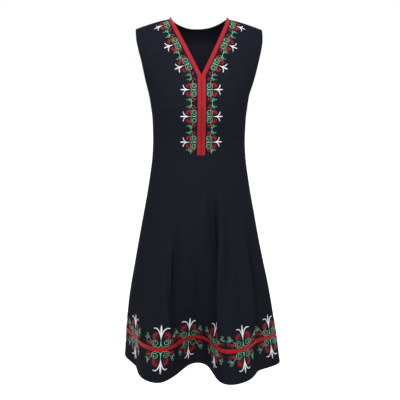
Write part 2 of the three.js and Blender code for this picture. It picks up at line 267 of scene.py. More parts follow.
def surface(turn, z, ahead=None):
    """Outside of the cloth at a turn round the dress and a height. The turn is 0 in the middle of the front,
    -1 and 1 at the side seams and 2 in the middle of the back."""
    turn, z = np.broadcast_arrays(np.asarray(turn, float), np.asarray(z, float))
    ahead = np.abs(turn) <= 1 if ahead is None else np.full(turn.shape, ahead)
    n, half, front, back, edge = square_at(z), half_at(z), front_at(z), back_at(z), armhole_at(z)
    own = np.where(ahead, front, back)
    edge_y = own * np.maximum(0, 1 - (edge / half) ** n) ** (1 / n)
    wide = np.where(z <= UNDERARM_Z, PI / 2, np.arctan2(edge, edge_y))
    angle = wide * np.where(ahead, turn, np.sign(turn) * (2 - np.abs(turn)))
    reach = np.where((np.cos(angle) >= 0) == ahead, front, back)
    r = (np.abs(np.sin(angle) / half) ** n + np.abs(np.cos(angle) / reach) ** n) ** (-1 / n)
    x = r * np.sin(angle)
    y = np.where(ahead, -1, 1) * r * np.cos(angle) * round_over(ahead, x, z)
    hem_x, hem_y, top = hem_at(turn)
    growth = np.clip((top - z) / (top - HEM_Z), 0, 1) ** FOLD_POWER
    shrink = half / half_at(HEM_Z)
    return np.stack([lerp(x, hem_x * shrink, growth), lerp(y, hem_y * shrink, growth), z], axis=-1)


def unit(v):
    """Vectors of length 1."""
    return v / np.maximum(np.linalg.norm(v, axis=-1, keepdims=True), 1e-12)


def crease_height(x, z, rows):
    """How far the creases of a table stand out at places seen from their own side."""
    total = np.zeros(x.shape)
    for x0, z0, x1, z1, bow, less, more, high in zip(*rows.values()):
        run = np.array([x1 - x0, z1 - z0])
        length = np.hypot(*run)
        share = np.clip(((x - x0) * run[0] + (z - z0) * run[1]) / length**2, 0, 1)
        aside = ((x - x0) * -run[1] + (z - z0) * run[0]) / length - bow * np.sin(PI * share)
        fade = np.maximum(0, np.sin(PI * share**CREASE_SKEW)) ** CREASE_FULLNESS
        total += high * fade * np.exp(-((aside / np.where(aside < 0, less, more)) ** 2))
    return total


def slack(points, side):
    """How far creases and the cloth's slight unevenness lift it from its form."""
    x, y, z = np.moveaxis(points, -1, 0)
    total = crease_height(x, z, CREASES[side])
    rng = np.random.default_rng(WAVE_SEED[side])
    from_seams = smooth((np.abs(y) - 4) / 30) * smooth((seam_z(x) - z) / 40)
    for length, high in zip(*WAVES.values()):
        for _ in range(WAVES_EACH):
            lean = rng.uniform(-WAVE_LEAN, WAVE_LEAN)
            phase = rng.uniform(0, 2 * PI)
            way = x * math.cos(lean) + WAVE_STRETCH * z * math.sin(lean)
            total += high * from_seams * np.sin(2 * PI * way / length + phase)
    return total


# ---- Making meshes ---------------------------------------------------------------------------------------


def make_piece(name, points, faces, material, weave, corner):
    """A mesh object that goes with the garment, smooth up to a corner's angle. weave is each point's place in
    its own cloth, braid or stitch: across it, along it, and 1 m deep on its wrong side."""
    mesh = bpy.data.meshes.new(name)
    mesh.from_pydata((points * MM).tolist(), [], faces)
    mesh.validate()
    place = mesh.attributes.new("weave", "FLOAT_VECTOR", "POINT")
    place.data.foreach_set("vector", (weave * MM).astype(np.float32).ravel())
    mesh.shade_smooth()
    mesh.set_sharp_from_angle(angle=math.radians(corner))
    mesh.materials.append(material)
    piece = bpy.data.objects.new(name, mesh)
    bpy.context.scene.collection.objects.link(piece)
    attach(piece, "root")
    return piece


def wall_faces(rows, columns, present=None, ring=False):
    """Quads of a closed wall whose outer grid of points comes before its inner one. present says which cells
    have cloth, and in a ring the last column meets the first."""
    cells = columns if ring else columns - 1
    cloth = np.ones((rows - 1, cells), bool) if present is None else present
    at = np.arange(rows * columns).reshape(rows, columns)
    at = np.concatenate([at, at[:, :1]], axis=1) if ring else at

    def corners(grid):
        return grid[:-1, :cells], grid[:-1, 1 : cells + 1], grid[1:, 1 : cells + 1], grid[1:, :cells]

    a, b, c, d = corners(at)
    e, f, g, h = corners(at + rows * columns)
    quads = [np.stack(q, axis=-1)[cloth] for q in ((a, b, c, d), (h, g, f, e))]
    padded = np.pad(cloth, 1)
    if ring:
        padded[:, 0], padded[:, -1] = padded[:, -2], padded[:, 1]
    below, above = padded[:-2, 1:-1], padded[2:, 1:-1]
    before, after = padded[1:-1, :-2], padded[1:-1, 2:]
    rims = (((b, a, e, f), below), ((c, b, f, g), after), ((d, c, g, h), above), ((a, d, h, e), before))
    quads += [np.stack(q, axis=-1)[cloth & ~beside] for q, beside in rims]
    return np.concatenate(quads).tolist()


# ---- Materials -------------------------------------------------------------------------------------------


def colour(hex_value):
    """An sRGB hex value as Blender's linear colour."""
    parts = [int(hex_value[i : i + 2], 16) / 255 for i in (1, 3, 5)]
    return [c / 12.92 if c <= 0.04045 else ((c + 0.055) / 1.055) ** 2.4 for c in parts] + [1]


def add_node(tree, kind, inputs=(), **settings):
    """Adds a node. An input that is a socket is linked, and any other is set."""
    made = tree.nodes.new(kind)
    for name, value in settings.items():
        setattr(made, name, value)
    for name, value in dict(inputs).items():
        if isinstance(value, bpy.types.NodeSocket):
            tree.links.new(value, made.inputs[name])
        else:
            made.inputs[name].default_value = value
    return made


def new_material(name):
    """An empty node material, and its tree."""
    material = bpy.data.materials.new(name)
    material.use_nodes = True
    material.node_tree.nodes.clear()
    return material, material.node_tree


def finish_material(tree, inputs):
    """Puts a principled shader on the material's surface."""
    shader = add_node(tree, "ShaderNodeBsdfPrincipled", inputs)
    add_node(tree, "ShaderNodeOutputMaterial", {"Surface": shader.outputs["BSDF"]})


# The next four return the new node's output.


def noise(tree, place, scale, detail=2.0):
    """Soft unevenness over places."""
    return add_node(
        tree, "ShaderNodeTexNoise", {"Vector": place, "Scale": scale, "Detail": detail},
    ).outputs["Fac"]


def maths(tree, operation, a, b, **settings):
    """Two numbers taken together."""
    return add_node(tree, "ShaderNodeMath", {0: a, 1: b}, operation=operation, **settings).outputs["Value"]


def blend(tree, factor, a, b):
    """The colour a share of the way from a to b."""
    mix = add_node(tree, "ShaderNodeMix", {"Factor": factor, "A": a, "B": b}, data_type="RGBA")
    return mix.outputs["Result"]


def bump(tree, relief, strength, depth):
    """The way out of a surface with a relief this many millimetres deep."""
    inputs = {"Height": relief, "Strength": strength, "Distance": depth * MM}
    return add_node(tree, "ShaderNodeBump", inputs).outputs["Normal"]


def bands(pitch_mm):
    """Scale of a wave texture whose bands are this far apart."""
    return 2 * PI / 20 / (pitch_mm * MM)


def midnight_gabardine():
    """Piece-dyed viscose gabardine: a steep fine twill, matt and nearly black, with a cold blue cast. Its
    wrong side is painted flat and a little paler, as painted light inside the back neck.
    """
    material, tree = new_material("midnight_gabardine")
    place = add_node(tree, "ShaderNodeAttribute", attribute_name="weave").outputs["Vector"]
    wrong_side = add_node(tree, "ShaderNodeSeparateXYZ", {"Vector": place}).outputs["Z"]
    # The twill's lines lie 0.5 mm apart and are drawn 1.3 mm apart, so that they show.
    steep = add_node(tree, "ShaderNodeMapping", {"Vector": place, "Rotation": (0, 0, math.radians(28))})
    twill = add_node(
        tree, "ShaderNodeTexWave",
        {
            "Vector": steep.outputs["Vector"], "Scale": bands(1.3),
            "Distortion": 0.6, "Detail": 1.0, "Detail Scale": 1.0,
        },
        bands_direction="X",
    ).outputs["Fac"]
    # Yarns vary over 2.2 mm across the cloth and 26 mm along it.
    slub = add_node(tree, "ShaderNodeMapping", {"Vector": place, "Scale": (1 / (2.2 * MM), 1 / (26 * MM), 1)})
    yarn = noise(tree, slub.outputs["Vector"], 1.0, detail=3.0)
    wear = noise(tree, place, 1 / (90 * MM))
    shade = blend(tree, yarn, colour("#181a21"), colour("#20232b"))
    cast = blend(tree, wear, shade, colour("#1c1e25"))
    # Painted light: the wrong side is a flat, slightly paler colour, so the inside of the back neck looks
    # brighter.
    dye_and_painted_light = blend(tree, wrong_side, cast, colour("#1e1f27"))
    relief = bump(tree, maths(tree, "ADD", twill, yarn), 0.6, 0.12)
    finish_material(tree, {"Base Color": dye_and_painted_light, "Normal": relief, "Roughness": 0.82, "Specular IOR Level": 0.01})
    return material


def woven_braid():
    """Flat braid plaited from bright viscose: small chevrons with a soft gloss, and painted shade down in the
    plait.
    """
    material, tree = new_material("red_viscose_braid")
    place = add_node(tree, "ShaderNodeAttribute", attribute_name="weave").outputs["Vector"]
    split = add_node(tree, "ShaderNodeSeparateXYZ", {"Vector": place})
    fold = add_node(tree, "ShaderNodeMath", {0: split.outputs["X"]}, operation="ABSOLUTE")
    chevron = add_node(tree, "ShaderNodeCombineXYZ", {"X": fold.outputs["Value"], "Y": split.outputs["Y"]})
    lean = add_node(
        tree, "ShaderNodeMapping",
        {"Vector": chevron.outputs["Vector"], "Rotation": (0, 0, math.radians(52))},
    )
    # The plait's threads lie 0.6 mm apart and are drawn 1.5 mm apart, so that they show.
    plait = add_node(
        tree, "ShaderNodeTexWave",
        {"Vector": lean.outputs["Vector"], "Scale": bands(1.5), "Distortion": 0.4},
        bands_direction="X",
    ).outputs["Fac"]
    uneven = noise(tree, place, 1 / (5 * MM))
    # Painted shade: darker red down in the plait's hollows, brighter on its crowns.
    threads = blend(tree, plait, colour("#7c0e18"), colour("#c22630"))
    dye_and_painted_light = blend(tree, maths(tree, "MULTIPLY", uneven, 0.45), threads, colour("#a51a24"))
    gloss = {"Roughness": 0.58, "Specular IOR Level": 0.14, "Sheen Weight": 0.02, "Sheen Roughness": 0.4}
    finish_material(tree, {"Base Color": dye_and_painted_light, "Normal": bump(tree, plait, 0.7, 0.3), **gloss})
    return material


def embroidery_thread(name, deep, light):
    """Rayon embroidery thread in satin stitch: parallel threads with a silky gloss. Its deep colour is painted
    shade between them and its light colour their bright tops, mixed with random tone.
    """
    material, tree = new_material(name)
    place = add_node(tree, "ShaderNodeAttribute", attribute_name="weave").outputs["Vector"]
    # A stitch is 0.4 mm wide and is drawn 0.9 mm wide, so that it shows.
    stitches = add_node(
        tree, "ShaderNodeTexWave", {"Vector": place, "Scale": bands(0.9), "Distortion": 0.5, "Detail": 1.0},
        bands_direction="Y",
    ).outputs["Fac"]
    mixed = maths(tree, "MULTIPLY", stitches, noise(tree, place, 1 / (3 * MM)))
    painted_light_and_tone = maths(tree, "MULTIPLY", mixed, 1.7, use_clamp=True)
    # Painted shade between the stitches and brighter stitch tops, varied by random tone.
    shade = blend(tree, painted_light_and_tone, colour(deep), colour(light))
    gloss = {"Roughness": 0.42, "Specular IOR Level": 0.16, "Sheen Weight": 0.01}
    finish_material(tree, {"Base Color": shade, "Normal": bump(tree, stitches, 0.6, 0.2), **gloss})
    return material


GABARDINE = midnight_gabardine()
BRAID = woven_braid()
# For each thread, the first colour is painted shade between the stitches and the second the stitches' bright
# tops.
THREADS = {
    "white": embroidery_thread("white_rayon_thread", "#e2e4ee", "#ffffff"),
    "crimson": embroidery_thread("crimson_rayon_thread", "#940f24", "#d42e42"),
    "wine": embroidery_thread("wine_rayon_thread", "#45060f", "#7a0e1f"),
    "rose": embroidery_thread("rose_rayon_thread", "#b04058", "#dc5a70"),
    "forest": embroidery_thread("forest_green_rayon_thread", "#010a05", "#04281a"),
    "green": embroidery_thread("green_rayon_thread", "#0d5238", "#2b8560"),
    "mint": embroidery_thread("mint_rayon_thread", "#68b890", "#b4e8cc"),
    "sand": embroidery_thread("sand_rayon_thread", "#8a7858", "#c4b492"),
}

# ---- Panels ----------------------------------------------------------------------------------------------

SKIRT_ROWS, UPPER_ROWS = 150, 56
NECK_STRIPS, SHOULDER_STRIPS = 60, 44
BESIDE_SEAM = np.array([0.0075, 0.003, 0])  # closer columns beside the side seam
SEAM_VALLEY = {"half": 1.8, "deep": 0.55}  # the cloth sinks a little into its side seams


def top_shares(side, x, z):
    """Share of the way round at which the panel's cloth is x from the middle at height z."""
    low, high = np.zeros(x.shape), np.ones(x.shape)
    for _ in range(40):
        mid = (low + high) / 2
        turn = mid if side == "front" else 2 - mid
        under = surface(turn, z, side == "front")[..., 0] < x
        low, high = np.where(under, mid, low), np.where(under, high, mid)
    return (low + high) / 2


def panel_columns(side):
    """A panel's columns: shares of the way round at the underarm and at the top, and the top's heights."""
    ahead = side == "front"
    first = SLIT_HALF_TURN if ahead else 0
    along_neck = NECK_HALF * (1 - (1 - np.arange(NECK_STRIPS + 1) / NECK_STRIPS) ** 2)
    across = 1 - np.concatenate([1 - np.linspace(0, 1, SHOULDER_STRIPS - 2)[1:-1], BESIDE_SEAM])
    top_x = np.concatenate([along_neck, lerp(NECK_HALF, TIP_HALF, across)])
    share = top_x / NECK_HALF
    lowest, roundness = (V_POINT_Z, 1) if ahead else (BACK_NECK_Z, BACK_NECK_POWER)
    top_z = np.where(share < 1, lerp(lowest, NECK_Z, share**roundness), seam_z(top_x))
    top = np.maximum(top_shares(side, top_x, top_z), first)
    top[-1] = 1
    even = np.concatenate([np.linspace(first, 1, len(top_x) - 2)[:-1], 1 - BESIDE_SEAM])
    left = slice(None) if ahead else slice(1, None)  # the back has one column down its middle
    even = np.concatenate([-even[::-1], even[left]])
    top = np.concatenate([-top[::-1], top[left]])
    return even, top, np.concatenate([top_z[::-1], top_z[left]])


def run_along(form, axis):
    """Distance over the cloth from the first point of each row or column of a grid."""
    steps = np.linalg.norm(np.diff(form, axis=axis), axis=2)
    return np.cumsum(np.pad(steps, [(1, 0), (0, 0)] if axis == 0 else [(0, 0), (1, 0)]), axis=axis)


def cloth_panel(side):
    """One panel, from its hem up to neckline, shoulder seam and armholes, as a closed thin shell."""
    ahead = side == "front"
    even, top, top_z = panel_columns(side)
    levels = np.linspace(HEM_Z, UNDERARM_Z, SKIRT_ROWS + 1)
    levels[np.argmin(np.abs(levels - SLIT_END_Z))] = SLIT_END_Z
    climb = ((1 - np.cos(PI * np.arange(1, UPPER_ROWS + 1) / UPPER_ROWS)) / 2)[:, None]
    shares = np.concatenate([np.tile(even, (len(levels), 1)), lerp(even, top, climb)])
    z = np.concatenate([np.tile(levels[:, None], len(even)), lerp(UNDERARM_Z, top_z, climb)])
    turn = shares if ahead else np.where(shares <= 0, 2 + shares, shares - 2)
    form = surface(turn, z, ahead)

    crest = np.abs(form[-1, :, 0]) >= NECK_HALF - 0.01
    normals = unit(np.cross(np.gradient(form, axis=1), np.gradient(form, axis=0)))
    normals[-1, crest, 1] = 0
    normals = unit(normals)
    outer = form + normals * slack(form, side)[..., None]
    beside_seam = np.exp(-((form[..., 1] / SEAM_VALLEY["half"]) ** 2)) * (z <= UNDERARM_Z)
    outer -= normals * (SEAM_VALLEY["deep"] * beside_seam)[..., None]
    edge_y = (-1 if ahead else 1) * SEAM_GAP / 2
    outer[: len(levels), [0, -1], 1] = edge_y
    outer[-1, crest, 1] = edge_y
    turned_up = HEM_TURNING["thick"] * (1 - smooth((z - HEM_Z - HEM_TURNING["depth"]) / 4))
    inner = outer - normals * (CLOTH + turned_up)[..., None]
    points = np.concatenate([outer.reshape(-1, 3), inner.reshape(-1, 3)])

    across, up = run_along(form, 1), run_along(form, 0)
    across -= across[:, [across.shape[1] // 2]]
    weave = np.stack([across, up, np.zeros_like(up)], axis=-1).reshape(-1, 3)
    weave = np.concatenate([weave, weave + (0, 0, 1 / MM)])

    present = np.ones((len(z) - 1, len(even) - 1), bool)
    if ahead:
        present[np.searchsorted(levels, SLIT_END_Z) :, len(even) // 2 - 1] = False
    faces = np.array(wall_faces(len(z), len(even), present))
    used = np.unique(faces)  # without the points in the slit's opening
    faces = np.searchsorted(used, faces).tolist()
    piece = make_piece(f"{side}_panel", points[used], faces, GABARDINE, weave[used], corner=55)
    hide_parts(side)
    return piece


# ---- Places on the cloth for braid and embroidery --------------------------------------------------------


def on_front(x, z):
    """The front's cloth at a distance from the middle and a height, above the waist."""
    n = square_at(z)
    y = -front_at(z) * np.maximum(0, 1 - (np.abs(x) / half_at(z)) ** n) ** (1 / n) * round_over(True, x, z)
    return np.stack(np.broadcast_arrays(x, y, z), axis=-1).astype(float)


def front_normal(x, z):
    """The way out of the front's cloth, taken just below the shoulder seam where a place lies on it."""
    low = np.minimum(z, seam_z(x) - 0.25)
    across = on_front(x + 0.2, low) - on_front(x - 0.2, low)
    up = on_front(x, low) - on_front(x, low - 0.2)
    return unit(np.cross(across, up))


class NeckCloth:
    """Places beside the slit and the V: along their edge from the braid's foot, and out from it."""

    STEP, REACH = 1.0, 66
    LEAN, TURNING = math.radians(22), 34  # of the way out beside the V, and half the stretch where it turns

    def __init__(self):
        slit = np.linspace(BRAID_END_Z, V_POINT_Z, 240)
        rise = 1 - (1 - np.linspace(0, 1, 300)[1:]) ** 2
        x = np.concatenate([np.full(slit.shape, SEAM_GAP / 2), SEAM_GAP / 2 + NECK_HALF * rise])
        z = np.concatenate([slit, lerp(V_POINT_Z, NECK_Z, rise)])
        edge = on_front(x, z)
        run = np.concatenate([[0], np.cumsum(np.linalg.norm(np.diff(edge, axis=0), axis=1))])
        self.length = run[-1]
        self.v_point = float(np.interp(V_POINT_Z, z, run))
        self.along = np.arange(0, self.length + self.STEP, self.STEP)
        self.out = np.arange(0, self.REACH + self.STEP, self.STEP)
        at = np.clip(self.along, 0, self.length)
        x, z = np.interp(at, run, x), np.interp(at, run, z)
        lean = self.LEAN * smooth((self.along - self.v_point + self.TURNING) / (2 * self.TURNING))
        step_x, step_z = np.cos(lean), -np.sin(lean)
        rows = [np.stack([x, z], axis=-1)]
        for _ in self.out[1:]:
            here = on_front(x, z)
            there = on_front(x + 0.1 * step_x, z + 0.1 * step_z)
            shorter = self.STEP * 0.1 / np.linalg.norm(there - here, axis=-1)
            x, z = x + step_x * shorter, np.minimum(z + step_z * shorter, seam_z(x) - 0.02)
            rows.append(np.stack([x, z], axis=-1))
        self.places = np.stack(rows, axis=1)

    def height_at(self, z):
        """Distance along the edge at a height."""
        return float(np.interp(z, self.places[:, 0, 1], self.along))

    def place(self, along, out, hand):
        """Points and outward directions on the wearer's left, or on the right where hand is -1."""
        i = np.clip(along / self.STEP, 0, len(self.along) - 1.001)
        j = np.clip(out / self.STEP, 0, len(self.out) - 1.001)
        i0, j0 = i.astype(int), j.astype(int)
        u, v = (i - i0)[..., None], (j - j0)[..., None]
        low = lerp(self.places[i0, j0], self.places[i0, j0 + 1], v)
        high = lerp(self.places[i0 + 1, j0], self.places[i0 + 1, j0 + 1], v)
        x, z = np.moveaxis(lerp(low, high, u), -1, 0)
        way = np.stack(np.broadcast_arrays(hand, 1, 1), axis=-1)
        points, normals = on_front(x, z) * way, front_normal(x, z) * way
        return points + normals * slack(points, "front")[..., None], normals


class SkirtCloth:
    """Places round the skirt: along the braid's middle from the middle of the back, and up from it."""

    def __init__(self):
        self.levels = np.linspace(HEM_Z + 2, HEM_BRAID_Z + 90, 40)
        self.turns = np.linspace(-2, 2, 4001)
        grid = surface(self.turns[None], self.levels[:, None])
        steps = np.linalg.norm(np.diff(grid, axis=1), axis=2)
        self.runs = np.concatenate([np.zeros((len(self.levels), 1)), np.cumsum(steps, axis=1)], axis=1)
        self.middle_run = np.array([np.interp(HEM_BRAID_Z, self.levels, run) for run in self.runs.T])
        self.length = self.middle_run[-1]
        up_the_cloth = np.linalg.norm(np.diff(grid[:, ::100], axis=0), axis=2).sum(axis=0).mean()
        self.slope = float(np.ptp(self.levels) / up_the_cloth)  # height gained in a millimetre up the cloth

    def turn_at(self, run):
        """Turn where the braid's middle has run this far round from the middle of the back."""
        return np.interp(run % self.length, self.middle_run, self.turns)

    def patch(self, middle_turn, reach=75):
        """A function that places (along, up) about a turn."""
        offsets = np.arange(-reach, reach + 1.0)
        inverse = []
        for run in self.runs:
            full = run[-1]
            here = np.interp(middle_turn, self.turns, run)
            doubled = np.concatenate([run[:-1] - full, run, run[1:] + full])
            turns = np.concatenate([self.turns[:-1] - 4, self.turns, self.turns[1:] + 4])
            inverse.append(np.interp(here + offsets, doubled, turns))
        inverse = np.array(inverse)

        def place(along, up):
            low_z, next_z, high_z = self.levels[[0, 1, -1]]
            z = np.clip(HEM_BRAID_Z + up * self.slope, low_z, high_z)
            i = np.clip((z - low_z) / (next_z - low_z), 0, len(self.levels) - 1.001)
            j = np.clip(along + reach, 0, len(offsets) - 1.001)
            i0, j0 = i.astype(int), j.astype(int)
            low = lerp(inverse[i0, j0], inverse[i0, j0 + 1], j - j0)
            high = lerp(inverse[i0 + 1, j0], inverse[i0 + 1, j0 + 1], j - j0)
            return skirt_place(lerp(low, high, i - i0), z)

        return place


def skirt_place(turn, z):
    """Points and outward directions of the skirt's cloth."""

    def once_round(turn):
        return (turn + 2) % 4 - 2

    turn = once_round(turn)
    points = surface(turn, z)
    around = surface(once_round(turn + 0.001), z) - surface(once_round(turn - 0.001), z)
    up = surface(turn, z + 0.5) - surface(turn, z - 0.5)
    normals = unit(np.cross(around, up))
    lift = np.where(points[..., 1] < 0, slack(points, "front"), slack(points, "back"))
    return points + normals * lift[..., None], normals


NECK = NeckCloth()
SKIRT = SkirtCloth()

# ---- Braids ----------------------------------------------------------------------------------------------

BRAID_LIFT = 0.25  # over the cloth
TAIL_RISE = 7  # length over which a neck braid lifts off at the shoulder seam
PICOT = {"pitch": 3.5, "deep": 0.5}  # the small loops down a braid's edges
NOTCH = {"pitch": 8.4, "deep": 0.75, "long": 1.3}  # where the braids over the slit are drawn in by a stitch
# A braid's section: places across it in half widths, and their heights in thicknesses.
ACROSS = np.array([-1, -0.96, -0.85, -0.55, -0.2, 0.2, 0.55, 0.85, 0.96, 1])
CROWN = np.array([0.15, 0.62, 0.9, 1, 0.96, 0.96, 1, 0.9, 0.62, 0.15])


def picots(runs):
    """How far an edge with small loops stands in from the braid's full width."""
    return PICOT["deep"] * (0.5 + 0.5 * np.cos(2 * PI * runs / PICOT["pitch"]))


def notches(runs):
    """The same for the edges that are joined over the slit."""
    off = (runs + NOTCH["pitch"] / 2) % NOTCH["pitch"] - NOTCH["pitch"] / 2
    return NOTCH["deep"] * np.exp(-((off / NOTCH["long"]) ** 2))


def braid_strip(name, place, runs, trims, replaced, ring=False, tail=None):
    """A flat braid laid on places (run, across), with a slight hollow down its middle. trims are what its two
    edges lose along it, and tail is how much of it stands up over the shoulder seam."""
    half = np.full((len(runs), len(ACROSS)), BRAID_WIDTH / 2)
    half[:, :2] -= trims[0][:, None]
    half[:, -2:] -= trims[1][:, None]
    across = half * ACROSS
    points, normals = place(np.tile(runs[:, None], len(ACROSS)), across)
    top = points + normals * (BRAID_LIFT + BRAID_THICK * CROWN)[None, :, None]
    under = points + normals * BRAID_LIFT * 0.4
    if tail is not None:
        for layer in (top, under):
            layer[..., 2] += BRAID_TAIL * tail[:, None]
    weave = np.stack([across, np.tile(runs[:, None], len(ACROSS)), np.zeros_like(across)], axis=-1)
    if ring:
        top, under, weave = (np.swapaxes(grid, 0, 1) for grid in (top, under, weave))
        faces = wall_faces(len(ACROSS), len(runs), ring=True)
    else:
        faces = wall_faces(len(runs), len(ACROSS))
    points = np.concatenate([top.reshape(-1, 3), under.reshape(-1, 3)])
    weave = np.tile(weave.reshape(-1, 3), (2, 1))
    piece = make_piece(name, points, faces, BRAID, weave, corner=70)
    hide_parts(replaced)
    return piece


def neck_braid(side):
    """The braid up one edge of the slit and of the V, to the shoulder seam."""
    hand = 1 if side == "left" else -1

    def place(run, across):
        return NECK.place(run, BRAID_WIDTH / 2 + hand * across, hand)

    runs = np.arange(0, NECK.length, PICOT["pitch"] / 5)
    tail = smooth((runs - NECK.length + TAIL_RISE) / TAIL_RISE)
    inner = notches(runs) * (runs < NECK.v_point - 4)
    trims = (inner, picots(runs)) if side == "left" else (picots(runs), inner)
    return braid_strip(f"neck_braid_{side}_woven", place, runs, trims, f"neck_braid_{side}", tail=tail)


def hem_braid():
    """The braid once round the skirt."""
    count = int(SKIRT.length / (PICOT["pitch"] / 4))
    runs = np.arange(count) * SKIRT.length / count

    def place(run, across):
        return skirt_place(SKIRT.turn_at(run), HEM_BRAID_Z + across * SKIRT.slope)

    return braid_strip("hem_braid_woven", place, runs, (picots(runs), picots(runs)), "hem_braid", ring=True)


# ---- Embroidery ------------------------------------------------------------------------------------------


class Stitching:
    """Gathers satin-stitch shapes by thread colour. Each is drawn flat for one quarter of a motif, with the
    first coordinate along the braid and the second away from it, then turned to its own quarter and laid on
    the cloth. side and up are the quarter's way in the two coordinates, 1 or -1, and hand is -1 where the
    places themselves are mirrored."""

    # Section of a line of stitches: places across it and their heights, with one point under the cloth.
    DOME = np.array([(-1, 0.05), (-0.66, 0.74), (0, 1), (0.66, 0.74), (1, 0.05), (0, -0.5)])

    def __init__(self, name):
        self.name, self.shapes = name, {}
        self.place, self.hand, self.side, self.up = None, 1, 1, 1

    def satin(self, thread, path, half, height=0.7):
        """A ribbon of satin stitch along a flat path, as wide as half says at each of its points."""
        path, half = np.asarray(path, float), np.broadcast_to(np.asarray(half, float), len(path))
        run = np.concatenate([[0], np.cumsum(np.linalg.norm(np.diff(path, axis=0), axis=1))])
        ahead = unit(np.gradient(path, axis=0))
        aside = np.stack([-ahead[:, 1], ahead[:, 0]], axis=1)
        round_way = self.hand * self.side * self.up
        flat = path[:, None] + aside[:, None] * (round_way * half[:, None] * self.DOME[:, 0])[..., None]
        points, normals = self.place(self.side * flat[..., 0], self.up * flat[..., 1])
        thin = np.minimum(1, half / 0.9)
        lift = 0.12 + height * thin[:, None] * np.maximum(self.DOME[:, 1], -0.35)
        across = np.tile(self.DOME[:, 0], (len(path), 1)) * half[:, None]
        weave = np.stack([across, np.tile(run[:, None], len(self.DOME))], axis=-1)
        self.shapes.setdefault(thread, []).append((points + normals * lift[..., None], weave))

    def pad(self, thread, centre, wide, tall, height=0.4):
        """An oval filled with stitches that run across it."""
        t = -np.cos(PI * np.linspace(0.03, 0.97, 15))
        path = np.stack([np.full(t.shape, float(centre[0])), centre[1] + tall * t], axis=1)
        self.satin(thread, path, wide * np.sqrt(1 - t * t), height)

    def curl(self, thread, centre, wide, tall, turns, start, half, inner, height=0.8, steps=20):
        """A line that winds in from the edge of an oval to a share inner of its size."""
        t = np.linspace(0, 1, int(steps * turns) + 1)
        angle = math.radians(start) + 2 * PI * turns * t
        shrink = 1 - (1 - inner) * t**1.1
        path = shrink[:, None] * np.stack([wide * np.cos(angle), tall * np.sin(angle)], axis=1) + centre
        ends = np.minimum(1, 0.5 + 8 * t) * np.minimum(1, 0.6 + 5 * (1 - t))
        self.satin(thread, path, half * ends, height)

    def drop(self, thread, base, tip, half, full=0.62, height=0.8, steps=12):
        """A pointed leaf or a full drop that is broadest at a share full of its length."""
        t = np.linspace(0, 1, steps)
        path = lerp(np.asarray(base, float), np.asarray(tip, float), t[:, None])
        swell = np.sin(PI * t ** (math.log(0.5) / math.log(full))) ** 0.75
        self.satin(thread, path, np.maximum(0.12, half * swell), height)

    def line(self, thread, points, half=0.55, height=0.5, steps=14, taper=0.3):
        """An even line of stitches through points, as one smooth curve."""
        knots = np.asarray(points, float)
        t = np.linspace(0, len(knots) - 1, steps)
        padded = np.concatenate([2 * knots[:1] - knots[1:2], knots, 2 * knots[-1:] - knots[-2:-1]])
        i = np.clip(t.astype(int), 0, len(knots) - 2)
        u = (t - i)[:, None]
        p0, p1, p2, p3 = (padded[i + k] for k in range(4))
        square, cube = 2 * p0 - 5 * p1 + 4 * p2 - p3, 3 * (p1 - p2) + p3 - p0
        path = 0.5 * (2 * p1 + (p2 - p0) * u + square * u**2 + cube * u**3)
        ends = np.minimum(1, taper + 5 * np.minimum(t, t[-1] - t) / t[-1])
        self.satin(thread, path, half * ends, height)

    def fan(self, base, reach, low, high, drops, half):
        """A fan of dark drops from one point, each with a bright outer half and a knot near its end. low and
        high are the directions of the first and the last."""
        for share in np.arange(drops) / (drops - 1):
            angle = math.radians(lerp(low, high, share))
            tip = reach * (1 - 0.12 * abs(2 * share - 1)) * np.array([math.cos(angle), math.sin(angle)])
            self.drop("wine", base, base + tip, half, full=0.74, height=0.7)
            self.drop("crimson", base + 0.42 * tip, base + 0.99 * tip, 0.72 * half, full=0.6, height=0.95)
            self.pad("rose", base + 0.84 * tip, 0.75, 0.75, height=1.15)

    def finish(self):
        """One mesh for each thread colour."""
        ring = len(self.DOME)
        made = []
        for thread, shapes in self.shapes.items():
            points, weave, faces, start = [], [], [], 0
            for solid, place in shapes:
                rows = len(solid)
                at = start + np.arange(rows * ring).reshape(rows, ring)
                beside = np.roll(at, -1, axis=1)
                faces += np.stack([at[:-1], at[1:], beside[1:], beside[:-1]], axis=-1).reshape(-1, 4).tolist()
                faces += [at[0].tolist(), at[-1][::-1].tolist()]
                points.append(solid.reshape(-1, 3))
                weave.append(place.reshape(-1, 2))
                start += rows * ring
            weave = np.concatenate(weave)
            weave = np.concatenate([weave, np.zeros((len(weave), 1))], axis=1)
            name, points = f"{self.name}_{thread}", np.concatenate(points)
            made.append(make_piece(name, points, faces, THREADS[thread], weave, corner=75))
        return made


def three_prongs(work, base, tip, fork, arm, half, arm_half):
    """Half of a white flower on an upright stem. Its arm leaves at fork and takes the way arm."""
    if work.side > 0:
        work.drop("white", (0, fork - 3), (0, tip), half, full=0.52, height=1.1, steps=16)
        work.drop("white", (0, base), (0, fork + 6), half * 0.7, full=0.72, height=0.9, steps=10)
    way = [(0.3, fork - 3), (1.0, fork + 1), *arm]
    work.line("white", way, half=arm_half, height=0.95, steps=20, taper=0.45)


